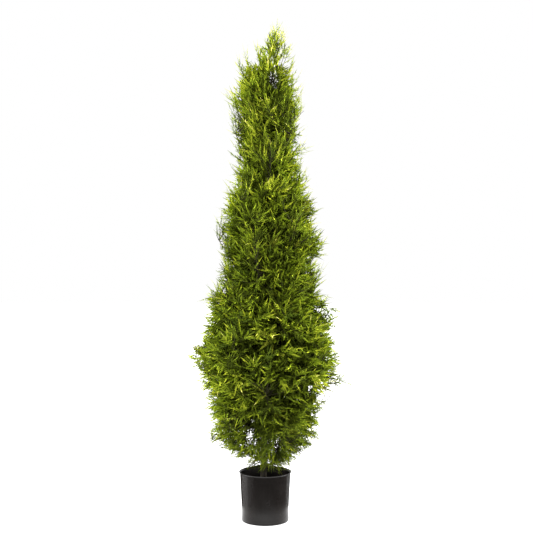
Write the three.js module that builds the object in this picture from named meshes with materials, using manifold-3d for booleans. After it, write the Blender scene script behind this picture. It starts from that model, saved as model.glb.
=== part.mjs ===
// A potted artificial cypress pine: a tall column of feathery sprays round one trunk.
// Units are millimetres, +Z is up, and the origin is the middle of the pot's underside.
// Azimuth 0 points along +X and grows towards +Y. The plant is seen from -Y.
import * as THREE from "three";
import { mergeVertices } from "three/addons/utils/BufferGeometryUtils.js";
import Module from "manifold-3d";

const wasm = await Module();
wasm.setup();

// Driving dimensions
const TREE_HEIGHT = 1800;
const CLEARANCE = 0.3; // gap left between pieces that touch
const SMALLEST_DETAIL = 0.6; // edges shorter than this are closed up where sprays cross

const POT = {
  height: 177,
  baseRadius: 85,
  footHeight: 45, // the wall is upright up to here
  lipRadius: 89.5, // where the wall turns out into the lip
  lipHeight: 9,
  rimRadius: 95.5,
  wall: 2.4,
  floor: 4,
  sides: 40,
};
const FILL_TOP = 100; // the set fill that holds the trunk ends well below the rim

const TRUNK = {
  footX: -6,
  topX: 4,
  topZ: 1400,
  flareRadius: 17,
  flareHeight: 70,
  radius: 12,
  topRadius: 3.6,
  sides: 12,
  steps: 8,
};

// The crown's outline: height above the floor, then how far the furthest tips reach.
const CROWN = [
  [180, 100], // foot, over the pot's rim
  [300, 190], // skirt
  [420, 222],
  [600, 300], // belly
  [870, 222],
  [1050, 214],
  [1320, 138], // waist
  [1540, 146], // shoulder
  [1700, 88],
  [TREE_HEIGHT, 30], // tip
];
const TIP_LEAN = 52; // the leader's tip bends this far towards +X
const LEAN_START = 1580;

// Foliage masses stand on a spiral round the trunk, evenly spread over the crown's surface.
const MASSES = {
  count: 33,
  evenOut: 120, // added to the reach, so that the narrow parts of the crown have enough masses
  topZ: 1610, // the highest tips beside the leader
  firstAzimuth: 0.5,
  lowRise: 0.1, // slope angle of the lowest boughs, in radians
  highRise: 1.2, // slope angle of the highest boughs
  sweep: 0.35, // how much of its rise a bough has made half way out
  reachSpread: 0.07, // masses fall short of the outline by up to this share
  spacing: 5, // a point nearer than this to two masses' axes belongs to neither
};
const GOLDEN_ANGLE = Math.PI * (3 - Math.sqrt(5));
const GOLDEN_SHARE = (Math.sqrt(5) - 1) / 2; // spreads twigs along a stem

// Only the wide part of the crown has bare boughs. Higher up the stems meet the trunk.
const BOUGH = {
  leastReach: 185,
  share: 0.36, // of the way from the trunk to the tip
  rootRadius: 5,
  tipRadius: 3.4,
  sides: 5,
  steps: 2,
};

const STEM = { end: 0.62, rootRadius: 3.2, tipRadius: 1.6, sides: 3, steps: 3 };

// The crown is dense, so each mass has a solid heart that its twigs and sprays stand out of.
const CORE = {
  place: 0.52, // its middle, along the mass's axis
  leaderPlace: 0.42,
  inset: 50, // from the crown's outline, so that the sprays stand out beyond it
  leastShare: 0.7, // of the crown's reach, where the crown is narrow
  share: 0.92, // of the way to the edge of the mass's space
  leaderShare: 0.74,
  smaller: [1, 0.9, 0.8, 0.7, 0.6, 0.5], // sizes tried until it keeps to its space
};

const TWIG = {
  tries: 16,
  leaderTries: 60,
  leastLength: 12,
  leastOutward: -0.1, // twigs grow on the outer side of the stem only
  radius: 2,
  inner: 0.2, // share of the stem that bears none
  wideAngle: 1.7, // between twig and stem, furthest in
  narrowAngle: 0.3, // and at the stem's tip
  sides: 3,
};

// A spray is a thin blade with a narrow neck and forward teeth, drawn for a length of 1.
const SPRAY = {
  length: 120,
  leastLength: 42,
  perMass: 8,
  onLeader: 16,
  lowLift: -0.3, // how far it turns up from its twig's direction at the crown's foot
  highLift: 0.4, // and from the belly upwards
  sunk: 0.1, // share of its length inside the twig and the core
  apart: 1.5, // sprays of a mass stay this far from each other
  thickness: 0.028,
  ridge: 0.2, // the thickest point
  rootHalfWidth: 0.016,
  neck: [0.16, 0.03],
  teeth: [
    { tip: [0.41, 0.23], notch: [0.41, 0.11] },
    { tip: [0.64, 0.18], notch: [0.61, 0.07] },
    { tip: [0.83, 0.1], notch: [0.79, 0.03] },
  ],
};
const SHORTER = [1, 0.8, 0.62]; // lengths tried before a spray is skipped

const COLOURS = {
  pot: 0x2b2a2b,
  fill: 0x1d1a17,
  trunk: 0x4a3a28,
  bough: 0x4d4a26,
  foliage: 0x6f8f1c,
  foliageShade: 0x4e6f1a,
};

// A random sequence that is the same on every run.
function seededRandom(seed) {
  let state = seed >>> 0;
  return () => {
    state = (state + 0x6d2b79f5) >>> 0;
    let mixed = Math.imul(state ^ (state >>> 15), state | 1);
    mixed ^= mixed + Math.imul(mixed ^ (mixed >>> 7), mixed | 61);
    return ((mixed ^ (mixed >>> 14)) >>> 0) / 2 ** 32;
  };
}

const { lerp, smoothstep, clamp } = THREE.MathUtils;

// Solids: three.js geometry in, joined or cut geometry out
function solidOf(geometry) {
  const bare = new THREE.BufferGeometry();
  bare.setAttribute("position", geometry.getAttribute("position"));
  bare.setIndex(geometry.index);
  const merged = mergeVertices(bare, 1e-4);
  return new wasm.Manifold(
    new wasm.Mesh({
      numProp: 3,
      vertProperties: merged.attributes.position.array,
      triVerts: new Uint32Array(merged.index.array),
    }),
  );
}

function geometryOf(solid) {
  const { vertProperties, triVerts } = solid.getMesh();
  const geometry = new THREE.BufferGeometry();
  geometry.setAttribute("position", new THREE.BufferAttribute(vertProperties, 3));
  geometry.setIndex(new THREE.BufferAttribute(triVerts, 1));
  geometry.computeVertexNormals();
  return geometry;
}

// The largest body of a solid. Loose scraps and sealed hollows are other bodies, and are dropped.
function mainBody(solid) {
  return solid.decompose().reduce((a, b) => (b.volume() > a.volume() ? b : a));
}

// Named mesh with a plain finish
function mesh(name, geometry, color, roughness) {
  const material = new THREE.MeshStandardMaterial({ color, roughness, metalness: 0 });
  const made = new THREE.Mesh(geometry, material);
  made.name = name;
  return made;
}

// Pot and fill: profiles turned about the Z axis
function turned(profile, sides) {
  const points = profile.map(([radius, z]) => new THREE.Vector2(radius, z));
  return new THREE.LatheGeometry(points, sides).rotateX(Math.PI / 2);
}

// Outside radius of the pot's wall below the lip
function potRadius(z) {
  const lipStart = POT.height - POT.lipHeight;
  const share = clamp((z - POT.footHeight) / (lipStart - POT.footHeight), 0, 1);
  return lerp(POT.baseRadius, POT.lipRadius, share);
}

function potGeometry() {
  const { height, baseRadius, footHeight, lipRadius, lipHeight, rimRadius, wall, floor } = POT;
  const lipStart = height - lipHeight;
  const outside = [[0, 0], [baseRadius, 0], [baseRadius, footHeight], [lipRadius, lipStart], [rimRadius, height]];
  const inside = [
    [rimRadius - wall, height],
    [lipRadius - wall, lipStart],
    [baseRadius - wall, footHeight],
    [baseRadius - wall, floor],
    [0, floor],
  ];
  return turned([...outside, ...inside], POT.sides);
}

function fillGeometry() {
  const bottom = POT.floor + CLEARANCE;
  const inset = POT.wall + 2 * CLEARANCE;
  const profile = [
    [0, bottom],
    [POT.baseRadius - inset, bottom],
    [POT.baseRadius - inset, POT.footHeight],
    [potRadius(FILL_TOP) - inset, FILL_TOP],
    [0, FILL_TOP],
  ];
  return turned(profile, POT.sides);
}

// A tapering limb: a cylinder bent along a curve. A tip radius of 0 ends it in a point.
function limb(curve, radiusAt, sides, steps) {
  const tipIsSharp = radiusAt(1) === 0;
  const geometry = new THREE.CylinderGeometry(tipIsSharp ? 0 : 1, 1, 1, sides, steps);
  const frames = curve.computeFrenetFrames(steps);
  const position = geometry.getAttribute("position");
  const point = new THREE.Vector3();
  for (let i = 0; i < position.count; i++) {
    const step = Math.round((position.getY(i) + 0.5) * steps);
    const radius = radiusAt(step / steps);
    const unit = tipIsSharp ? 1 / Math.max(1 - step / steps, 1e-9) : 1;
    point.copy(curve.getPointAt(step / steps));
    point.addScaledVector(frames.normals[step], radius * unit * position.getX(i));
    point.addScaledVector(frames.binormals[step], -radius * unit * position.getZ(i));
    position.setXYZ(i, point.x, point.y, point.z);
  }
  return geometry;
}

// Trunk
const trunkFoot = new THREE.Vector3(TRUNK.footX, 0, FILL_TOP + CLEARANCE);
const trunkTop = new THREE.Vector3(TRUNK.topX, 0, TRUNK.topZ);
const trunkLine = new THREE.LineCurve3(trunkFoot, trunkTop);
const trunkLength = trunkLine.getLength();

function trunkRadius(along) {
  const flare = 1 - smoothstep(along * trunkLength, 0, TRUNK.flareHeight);
  return lerp(TRUNK.radius, TRUNK.topRadius, along) + (TRUNK.flareRadius - TRUNK.radius) * flare;
}

function trunkAt(z) {
  return trunkLine.getPoint((z - trunkFoot.z) / (trunkTop.z - trunkFoot.z));
}

function trunkGeometry(extra) {
  return limb(trunkLine, (along) => trunkRadius(along) + extra, TRUNK.sides, TRUNK.steps);
}

// Crown outline
function crownReach(z) {
  const above = CROWN.findIndex(([height]) => height >= z);
  if (above < 1) return 0;
  const [z0, reach0] = CROWN[above - 1];
  const [z1, reach1] = CROWN[above];
  return lerp(reach0, reach1, smoothstep(z, z0, z1));
}

function crownCentre(z) {
  const share = clamp((z - LEAN_START) / (TREE_HEIGHT - LEAN_START), 0, 1);
  return TRUNK.topX * clamp(z / TRUNK.topZ, 0, 1) + (TIP_LEAN - TRUNK.topX) * share ** 1.5;
}

// Heights that part the crown's surface evenly, one in the middle of each part
function evenHeights(count) {
  const step = 5;
  const [low, high] = [CROWN[0][0], MASSES.topZ];
  const areas = [];
  let total = 0;
  for (let z = low; z < high; z += step) {
    total += (crownReach(z) + MASSES.evenOut) * step;
    areas.push({ z, total });
  }
  return Array.from({ length: count }, (_, i) => areas.find((a) => a.total >= (total * (i + 0.5)) / count).z);
}

// Every mass has an axis that sweeps out and up from the trunk to a tip on the crown's outline.
function massAxis(z, azimuth, reach) {
  const up = clamp((z - CROWN[0][0]) / (TRUNK.topZ - CROWN[0][0]), 0, 1);
  const rise = reach * Math.tan(lerp(MASSES.lowRise, MASSES.highRise, up));
  const root = trunkAt(Math.max(z - rise, FILL_TOP + TRUNK.flareHeight));
  const out = new THREE.Vector3(Math.cos(azimuth), Math.sin(azimuth), 0);
  const tip = out.clone().multiplyScalar(reach).add(new THREE.Vector3(crownCentre(z), 0, z));
  const bend = root.clone().lerp(tip, 0.5);
  bend.z = lerp(root.z, tip.z, MASSES.sweep);
  return new THREE.QuadraticBezierCurve3(root, bend, tip);
}

function sideMasses() {
  return evenHeights(MASSES.count).map((z, i) => {
    const random = seededRandom(i + 1);
    const reach = crownReach(z) * (1 - MASSES.reachSpread * random());
    const axis = massAxis(z, MASSES.firstAzimuth + i * GOLDEN_ANGLE, reach);
    const name = String(i + 1).padStart(2, "0");
    return { name, axis, random, boughShare: reach > BOUGH.leastReach ? BOUGH.share : 0 };
  });
}

function leaderMass() {
  const tip = new THREE.Vector3(TIP_LEAN, 0, TREE_HEIGHT);
  const bend = trunkTop.clone().lerp(tip, 0.5);
  bend.x = lerp(trunkTop.x, tip.x, MASSES.sweep);
  const axis = new THREE.QuadraticBezierCurve3(trunkTop, bend, tip);
  return { name: "leader", axis, random: seededRandom(MASSES.count + 1), boughShare: 0, onTip: true };
}

// The stretch of a quadratic curve between two of its parameters
function stretch(curve, from, to) {
  const { v0, v1, v2 } = curve;
  const bend = v0.clone().multiplyScalar((1 - from) * (1 - to));
  bend.addScaledVector(v1, (1 - from) * to + from * (1 - to));
  bend.addScaledVector(v2, from * to);
  return new THREE.QuadraticBezierCurve3(curve.getPoint(from), bend, curve.getPoint(to));
}

// Space: a point belongs to the mass whose axis is nearest
const masses = [...sideMasses(), leaderMass()];
for (const mass of masses) {
  mass.line = mass.axis.getPoints(6);
  mass.sprays = [];
}

function distanceToLine(point, line) {
  const segment = new THREE.Line3();
  const foot = new THREE.Vector3();
  let least = Infinity;
  for (let i = 1; i < line.length; i++) {
    segment.set(line[i - 1], line[i]).closestPointToPoint(point, true, foot);
    least = Math.min(least, foot.distanceTo(point));
  }
  return least;
}

function isFree(point, owner, inCore = false) {
  const out = Math.hypot(point.x - crownCentre(point.z), point.y);
  const reach = crownReach(point.z);
  const limit = inCore ? Math.max(reach - CORE.inset, reach * CORE.leastShare) : reach;
  if (point.z < CROWN[0][0] || out > limit) return false;
  if (owner.gate && owner.gate.distanceToPoint(point) < 2) return false;
  const up = clamp((point.z - trunkFoot.z) / (trunkTop.z - trunkFoot.z), 0, 1);
  if (point.distanceTo(trunkLine.getPoint(up)) < trunkRadius(up) + 3) return false;
  const own = distanceToLine(point, owner.line) + MASSES.spacing;
  return masses.every((mass) => mass === owner || distanceToLine(point, mass.line) > own);
}

// The level direction from the crown's centre line out through a point
function outwardAt(point) {
  return new THREE.Vector3(point.x - crownCentre(point.z), point.y, 0).normalize();
}

// How far a straight line runs from a point inside a mass before it leaves the mass's space
function freeLength(from, direction, mass, inCore = false) {
  const point = new THREE.Vector3();
  let length = 0;
  for (const step of [8, 0.5]) {
    while (isFree(point.copy(from).addScaledVector(direction, length + step), mass, inCore)) length += step;
  }
  return length;
}

// Sprays and twigs
function sprayOutline() {
  const left = [SPRAY.neck, ...SPRAY.teeth.flatMap(({ tip, notch }) => [tip, notch])];
  const right = left.map(([along, across]) => [along, -across]);
  return [[0, -SPRAY.rootHalfWidth], ...right, [1, 0], ...left.reverse(), [0, SPRAY.rootHalfWidth]];
}

// A sphere of two rows of faces, flattened, whose rim is drawn out to the toothed outline
function sprayGeometry(root, direction, normal, length) {
  const outline = sprayOutline();
  const geometry = new THREE.SphereGeometry(1, outline.length, 2);
  const position = geometry.getAttribute("position");
  for (let i = 0; i < position.count; i++) {
    const side = Math.round(position.getY(i));
    const [along, across] = side ? [SPRAY.ridge, 0] : outline[i % (outline.length + 1) % outline.length];
    position.setXYZ(i, along * length, across * length, (side * SPRAY.thickness * length) / 2);
  }
  const across = normal.clone().cross(direction);
  const place = new THREE.Matrix4().makeBasis(direction, across, normal).setPosition(root);
  return geometry.applyMatrix4(place);
}

function pointsOf(geometry) {
  const position = geometry.getAttribute("position");
  return Array.from({ length: position.count }, (_, i) => new THREE.Vector3().fromBufferAttribute(position, i));
}

// A direction turned from an axis by an angle, after rolling round the axis
function branchDirection(axis, angle, roll) {
  const aside = new THREE.Vector3(axis.y, -axis.x, 0);
  if (aside.lengthSq() < 1e-6) aside.set(1, 0, 0);
  aside.normalize().applyAxisAngle(axis, roll);
  return axis.clone().multiplyScalar(Math.cos(angle)).addScaledVector(aside, Math.sin(angle)).normalize();
}

function sprayOn(mass, root, direction, longest, solids) {
  const normal = branchDirection(direction, Math.PI / 2, mass.random() * Math.PI);
  for (const share of SHORTER) {
    const length = longest * share;
    if (length < SPRAY.leastLength) return false;
    const sunk = root.clone().addScaledVector(direction, -SPRAY.sunk * length);
    const geometry = sprayGeometry(sunk, direction, normal, length * (1 + SPRAY.sunk));
    const beyondRoot = pointsOf(geometry).filter((p) => p.distanceTo(root) > length * 0.15);
    if (!beyondRoot.every((p) => isFree(p, mass))) continue;
    const spray = solidOf(geometry);
    if (mass.sprays.some((other) => other.minGap(spray, SPRAY.apart) < SPRAY.apart)) continue;
    solids.push(spray);
    mass.sprays.push(spray);
    return true;
  }
  return false;
}

// How deep a point lies inside the core, looking along a direction
function depthInCore(core, point, direction) {
  if (!core) return 0;
  const body = new THREE.Mesh(core, new THREE.MeshBasicMaterial({ side: THREE.DoubleSide }));
  const hits = new THREE.Raycaster(point, direction).intersectObject(body);
  return hits.length % 2 ? hits[0].distance : 0;
}

// A twig runs from the stem out to the core's surface, and a spray stands on its end.
function twigOn(mass, root, direction, lift, longest, core, solids) {
  const depth = depthInCore(core, root, direction);
  const end = root.clone().addScaledVector(direction, Math.max(depth, TWIG.leastLength));
  const heading = direction.clone();
  heading.z += lift;
  heading.normalize();
  const length = Math.min(longest, freeLength(end, heading, mass));
  if (!sprayOn(mass, end, heading, length, solids)) return;
  const inside = depth > TWIG.leastLength ? SPRAY.sunk * length : 0;
  const line = new THREE.LineCurve3(root, end.addScaledVector(direction, -inside));
  solids.push(solidOf(limb(line, () => TWIG.radius, TWIG.sides, 1)));
}

// A ball whose points are drawn out towards the edge of the mass's space
function coreGeometry(mass) {
  const centre = mass.axis.getPoint(mass.onTip ? CORE.leaderPlace : CORE.place);
  const ball = new THREE.IcosahedronGeometry(1, 1);
  const position = ball.getAttribute("position");
  const directions = pointsOf(ball);
  const lengths = directions.map((direction) => freeLength(centre, direction, mass, true));
  const faceMiddle = new THREE.Vector3();
  const share = mass.onTip ? CORE.leaderShare : CORE.share;
  for (const size of CORE.smaller) {
    const points = directions.map((d, i) => d.clone().multiplyScalar(lengths[i] * share * size).add(centre));
    points.forEach((p, i) => position.setXYZ(i, p.x, p.y, p.z));
    const isClear = points.every((p, i) => {
      if (i % 3) return true;
      faceMiddle.copy(p).add(points[i + 1]).add(points[i + 2]).divideScalar(3);
      return isFree(faceMiddle, mass);
    });
    if (isClear) return ball;
  }
  return null;
}

function foliageSolid(mass, stemLine) {
  const stemRadius = (along) => lerp(STEM.rootRadius, STEM.tipRadius, along);
  const solids = [solidOf(limb(stemLine, stemRadius, STEM.sides, STEM.steps))];
  const core = coreGeometry(mass);
  if (core) solids.push(solidOf(core));
  const last = stemLine.getPoint(0.9);
  const toTip = mass.axis.v2.clone().sub(last);
  twigOn(mass, last, toTip.clone().normalize(), 0, toTip.length(), core, solids);
  const tries = mass.onTip ? TWIG.leaderTries : TWIG.tries;
  const most = mass.onTip ? SPRAY.onLeader : SPRAY.perMass;
  for (let i = 0; i < tries && mass.sprays.length < most; i++) {
    const inward = ((i + 1) * GOLDEN_SHARE) % 1;
    const along = lerp(1, TWIG.inner, inward);
    const root = stemLine.getPoint(along);
    const angle = lerp(TWIG.narrowAngle, TWIG.wideAngle, inward);
    const direction = branchDirection(stemLine.getTangent(along), angle, i * GOLDEN_ANGLE + mass.random());
    if (!mass.onTip && direction.dot(outwardAt(root)) < TWIG.leastOutward) continue;
    const lift = lerp(SPRAY.lowLift, SPRAY.highLift, smoothstep(root.z, CROWN[0][0], CROWN[3][0]));
    twigOn(mass, root, direction, lift, SPRAY.length, core, solids);
  }
  return wasm.Manifold.union(solids).simplify(SMALLEST_DETAIL);
}

// Pot
const pot = new THREE.Group();
pot.add(mesh("pot", potGeometry(), COLOURS.pot, 0.35));
pot.add(mesh("pot_fill", fillGeometry(), COLOURS.fill, 0.95));

// Trunk, boughs and foliage
const limbs = new THREE.Group();
const foliage = new THREE.Group();
limbs.add(mesh("trunk", trunkGeometry(0), COLOURS.trunk, 0.85));
const trunkSocket = solidOf(trunkGeometry(CLEARANCE));

// The stem of a mass starts just past its bough's tip, or in the trunk's side.
// Nothing of the mass reaches back past the bough's tip.
for (const mass of masses) {
  const meetsEnd = mass.boughShare > 0 || mass.onTip;
  const start = mass.boughShare + (meetsEnd ? CLEARANCE / mass.axis.getLength() : 0);
  mass.stemLine = stretch(mass.axis, start, STEM.end);
  if (!meetsEnd) continue;
  const heading = mass.stemLine.getTangent(0);
  mass.gate = new THREE.Plane().setFromNormalAndCoplanarPoint(heading, mass.stemLine.getPoint(0));
}

masses.forEach((mass, i) => {
  if (mass.boughShare > 0) {
    const line = stretch(mass.axis, 0, mass.boughShare);
    const radius = (along) => lerp(BOUGH.rootRadius, BOUGH.tipRadius, along);
    const bough = solidOf(limb(line, radius, BOUGH.sides, BOUGH.steps)).subtract(trunkSocket);
    limbs.add(mesh("bough_" + mass.name, geometryOf(mainBody(bough)), COLOURS.bough, 0.8));
  }
  const grown = foliageSolid(mass, mass.stemLine);
  const solid = mainBody(mass.gate ? grown : grown.subtract(trunkSocket));
  const colour = i % 2 ? COLOURS.foliage : COLOURS.foliageShade;
  foliage.add(mesh("foliage_" + mass.name, geometryOf(solid), colour, 0.7));
});

const tree = new THREE.Group();
tree.add(pot, limbs, foliage);

export default tree;
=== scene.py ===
# A potted artificial cypress pine: pot, set fill, trunk, boughs, twigs and feathery sprays, on a plain stage.
# Units are metres, +Z is up, the origin is the middle of the pot's underside, and the front faces -Y.
# Azimuth 0 points along +X and grows towards +Y.
import math

import bpy
import numpy as np
from bpy.props import FloatProperty, FloatVectorProperty, IntProperty, PointerProperty
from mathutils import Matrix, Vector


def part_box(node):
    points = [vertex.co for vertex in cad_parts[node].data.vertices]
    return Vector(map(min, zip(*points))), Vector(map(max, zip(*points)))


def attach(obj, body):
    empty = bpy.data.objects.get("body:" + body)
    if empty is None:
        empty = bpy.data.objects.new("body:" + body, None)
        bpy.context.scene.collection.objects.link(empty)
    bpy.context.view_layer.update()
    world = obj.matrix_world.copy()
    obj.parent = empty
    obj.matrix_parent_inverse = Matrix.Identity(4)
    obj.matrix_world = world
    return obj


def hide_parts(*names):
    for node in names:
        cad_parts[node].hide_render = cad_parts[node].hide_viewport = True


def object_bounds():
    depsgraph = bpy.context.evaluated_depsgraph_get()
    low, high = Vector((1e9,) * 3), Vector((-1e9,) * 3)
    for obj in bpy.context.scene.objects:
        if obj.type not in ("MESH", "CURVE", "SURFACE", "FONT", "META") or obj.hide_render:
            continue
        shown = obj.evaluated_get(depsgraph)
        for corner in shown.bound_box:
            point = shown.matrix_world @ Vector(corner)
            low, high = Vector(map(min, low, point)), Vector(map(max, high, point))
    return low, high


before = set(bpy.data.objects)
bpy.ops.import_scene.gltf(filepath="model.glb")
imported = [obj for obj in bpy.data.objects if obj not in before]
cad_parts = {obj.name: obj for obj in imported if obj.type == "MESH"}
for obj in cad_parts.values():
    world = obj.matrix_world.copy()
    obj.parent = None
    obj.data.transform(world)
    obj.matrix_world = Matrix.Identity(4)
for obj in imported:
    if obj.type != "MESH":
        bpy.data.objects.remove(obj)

bl_info = {
    "name": "Potted cypress pine",
    "version": (1, 0, 0),
    "blender": (4, 5, 0),
    "location": "3D View > Sidebar > Cypress",
    "description": "Dresses the frame of a potted artificial cypress pine",
    "category": "Object",
}

CAD_BOX = np.array(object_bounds())
POT_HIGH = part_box("pot")[1]
FILL_LOW, FILL_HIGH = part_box("pot_fill")
TRUNK_LOW, TRUNK_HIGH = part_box("trunk")
BOUGH_NODES = sorted(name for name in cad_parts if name.startswith("bough_"))
FOLIAGE_NODES = sorted(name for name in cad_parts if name.startswith("foliage_"))
BODY = "root"

# The crown's outline: height above the floor, then how far the furthest tips reach.
CROWN = (
    (0.18, 0.1),
    (0.3, 0.19),
    (0.42, 0.222),
    (0.6, 0.3),
    (0.87, 0.222),
    (1.05, 0.214),
    (1.32, 0.138),
    (1.54, 0.146),
    (1.7, 0.088),
    (1.8, 0.03),
)
CROWN_FOOT = CROWN[0][0]
TREE_HEIGHT = CROWN[-1][0]
# The crown's middle leans to +X from this height on, ever faster.
LEAN_START = 1.58
LEAN_CURVE = 1.5
# Where the middle of the trunk's foot and top stand in X, and the lowest height at which a stem leaves it.
TRUNK_FOOT_X = -0.006
TRUNK_TOP_X = 0.004
LOWEST_ROOT = 0.17

# The masses of foliage stand on a spiral round the trunk, evenly spread over the crown's surface.
EVEN_OUT = 0.12
HIGHEST_TIP = 1.61
FIRST_AZIMUTH = 0.5
LOW_RISE = 0.1
HIGH_RISE = 1.2
SWEEP = 0.35
REACH_SPREAD = 0.07
HEIGHT_STEP = 0.005
AXIS_POINTS = 7
BOUGH_LEAST_REACH = 0.185
BOUGH_SHARE = 0.36
GOLDEN_ANGLE = math.pi * (3 - math.sqrt(5))
UP = np.array((0.0, 0.0, 1.0))
# A direction with more of Z in it than this takes its sides from X, and so does one with less aside.
STEEP = 0.9
LEAST_ASIDE = 1e-6


def blend(first, second, share):
    return first + (second - first) * share


def smooth(share):
    share = np.clip(share, 0, 1)
    return share * share * (3 - 2 * share)


def unit(vectors):
    return vectors / np.linalg.norm(vectors, axis=-1, keepdims=True)


class PotSettings(bpy.types.PropertyGroup):
    """Sizes and finish of the pot and its fill."""

    height: FloatProperty(
        name="Height", description="Height of the rim above the floor", default=POT_HIGH.z, unit="LENGTH")
    rim_radius: FloatProperty(
        name="Rim radius", description="Outside radius at the top of the lip", default=POT_HIGH.x,
        unit="LENGTH")
    lip_radius: FloatProperty(
        name="Lip radius", description="Outside radius where the wall turns out", default=0.0915,
        unit="LENGTH")
    lip_height: FloatProperty(
        name="Lip height", description="Height of the flared lip", default=0.006, unit="LENGTH")
    base_radius: FloatProperty(
        name="Base radius", description="Outside radius of the upright foot", default=0.085, unit="LENGTH")
    foot_height: FloatProperty(
        name="Foot height", description="The wall is upright up to here", default=0.045, unit="LENGTH")
    wall: FloatProperty(
        name="Wall", description="Thickness of the moulded wall", default=0.0024, unit="LENGTH")
    floor: FloatProperty(
        name="Floor", description="Thickness of the pot's bottom", default=0.004, unit="LENGTH")
    edge: FloatProperty(
        name="Bottom edge", description="Rounding of the bottom edge", default=0.003, unit="LENGTH")
    sides: IntProperty(name="Sides", description="Faces round the pot", default=128, min=16)
    colour: FloatVectorProperty(
        name="Plastic", description="Charcoal plastic", default=(0.0076, 0.0064, 0.0058),
        size=3, subtype="COLOR")
    fill_colour: FloatVectorProperty(
        name="Fill", description="Dark set fill", default=(0.018, 0.016, 0.013), size=3, subtype="COLOR")


class TrunkSettings(bpy.types.PropertyGroup):
    """Sizes and colour of the trunk and boughs."""

    foot_radius: FloatProperty(
        name="Foot radius", description="Radius of the flared foot", default=0.017, unit="LENGTH")
    flare_height: FloatProperty(
        name="Flare height", description="Height of the flare above the fill", default=0.07, unit="LENGTH")
    radius: FloatProperty(
        name="Radius", description="Radius above the flare", default=0.012, unit="LENGTH")
    top_radius: FloatProperty(
        name="Top radius", description="Radius at the trunk's top", default=0.0036, unit="LENGTH")
    relief: FloatProperty(
        name="Bark relief", description="Depth of the bark's ridges", default=0.0032, unit="LENGTH")
    bough_radius: FloatProperty(
        name="Bough radius", description="Radius of a bough at the trunk", default=0.005, unit="LENGTH")
    bough_tip_radius: FloatProperty(
        name="Bough tip radius", description="Radius where a bough enters its mass", default=0.0034,
        unit="LENGTH")
    colour: FloatVectorProperty(
        name="Bark", description="Grey-brown bark", default=(0.023, 0.019, 0.011), size=3, subtype="COLOR")


class CrownSettings(bpy.types.PropertyGroup):
    """The rule that twigs, plumes and shoots grow by."""

    masses: IntProperty(
        name="Side masses", description="Masses of foliage round the trunk", default=len(FOLIAGE_NODES) - 1)
    tip_lean: FloatProperty(
        name="Tip lean", description="How far the leader's tip bends to +X", default=0.052, unit="LENGTH")
    twigs: IntProperty(name="Twigs", description="Twigs of the whole crown", default=3000)
    leafy_length: FloatProperty(
        name="Leafy length", description="Longest leafy stretch of a twig", default=0.08, unit="LENGTH")
    plume_spacing: FloatProperty(
        name="Plume spacing", description="Between plumes along a twig", default=0.0085, unit="LENGTH")
    plume_length: FloatProperty(
        name="Plume length", description="Length of a plume low on its twig", default=0.042, unit="LENGTH")
    shoots: IntProperty(name="Shoots", description="Side shoots of a plume", default=19)
    shoot_length: FloatProperty(
        name="Shoot length", description="Length of a plume's lowest shoots", default=0.022, unit="LENGTH")
    shoot_half_width: FloatProperty(
        name="Shoot half width", description="Half width of a shoot near the outline", default=0.0008,
        unit="LENGTH")
    seed: IntProperty(name="Seed", description="Seed of the finer growth", default=7)


class ColourSettings(bpy.types.PropertyGroup):
    """Greens of the sprays, from the heart of the crown to its tips."""

    # Deep and shade are painted shade, dealt to the heart of the crown and its foot. Light and tip are the
    # yellow-green new growth, also dealt near the outline as painted light, and tip is paler as a painted
    # highlight.
    deep_shade: FloatVectorProperty(
        name="Deep", description="Heart of the crown", default=(0.04, 0.054, 0.004), size=3, subtype="COLOR")
    shade: FloatVectorProperty(
        name="Shade", description="Shaded sprays", default=(0.08, 0.108, 0.007), size=3, subtype="COLOR")
    leaf: FloatVectorProperty(
        name="Leaf", description="Sprays between shade and light", default=(0.15, 0.2, 0.01),
        size=3, subtype="COLOR")
    light: FloatVectorProperty(
        name="Light", description="Fresh sprays", default=(0.285, 0.322, 0.02), size=3, subtype="COLOR")
    tip: FloatVectorProperty(
        name="Tip", description="Yellow-green tips", default=(0.6, 0.57, 0.14), size=3, subtype="COLOR")
    blue: FloatVectorProperty(
        name="Blue", description="Bluish sprays", default=(0.068, 0.1, 0.009), size=3, subtype="COLOR")
    olive: FloatVectorProperty(
        name="Olive", description="Olive sprays", default=(0.13, 0.145, 0.012), size=3, subtype="COLOR")
    twig: FloatVectorProperty(
        name="Twig", description="Bare twigs", default=(0.021, 0.02, 0.008), size=3, subtype="COLOR")


class StageSettings(bpy.types.PropertyGroup):
    """Camera, floor and lights."""

    camera_x: FloatProperty(name="Camera X", description="Aside of the pot", default=0.0047, unit="LENGTH")
    camera_distance: FloatProperty(
        name="Camera distance", description="In front of the trunk", default=3.467, unit="LENGTH")
    camera_height: FloatProperty(
        name="Camera height", description="Above the floor", default=0.918, unit="LENGTH")
    lens: FloatProperty(name="Lens", description="Focal length in millimetres", default=64.65)
    world: FloatProperty(name="Surroundings", description="Light of the white surroundings", default=1.5)
    glow: FloatProperty(name="Floor glow", description="Light of the floor itself", default=0.86)
    key: FloatProperty(name="Key light", description="Power of the front light", default=62.0, unit="POWER")
    side: FloatProperty(
        name="Side lights", description="Power before each one's share", default=560.0, unit="POWER")


# Materials. Nearly all values of a noise lie between these two.
NOISE_LOW = 0.3
NOISE_HIGH = 0.7


def new_material(name):
    """A new material, its node tree and its main shader."""
    material = bpy.data.materials.new(name)
    material.use_nodes = True
    tree = material.node_tree
    return material, tree, tree.nodes["Principled BSDF"]


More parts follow.
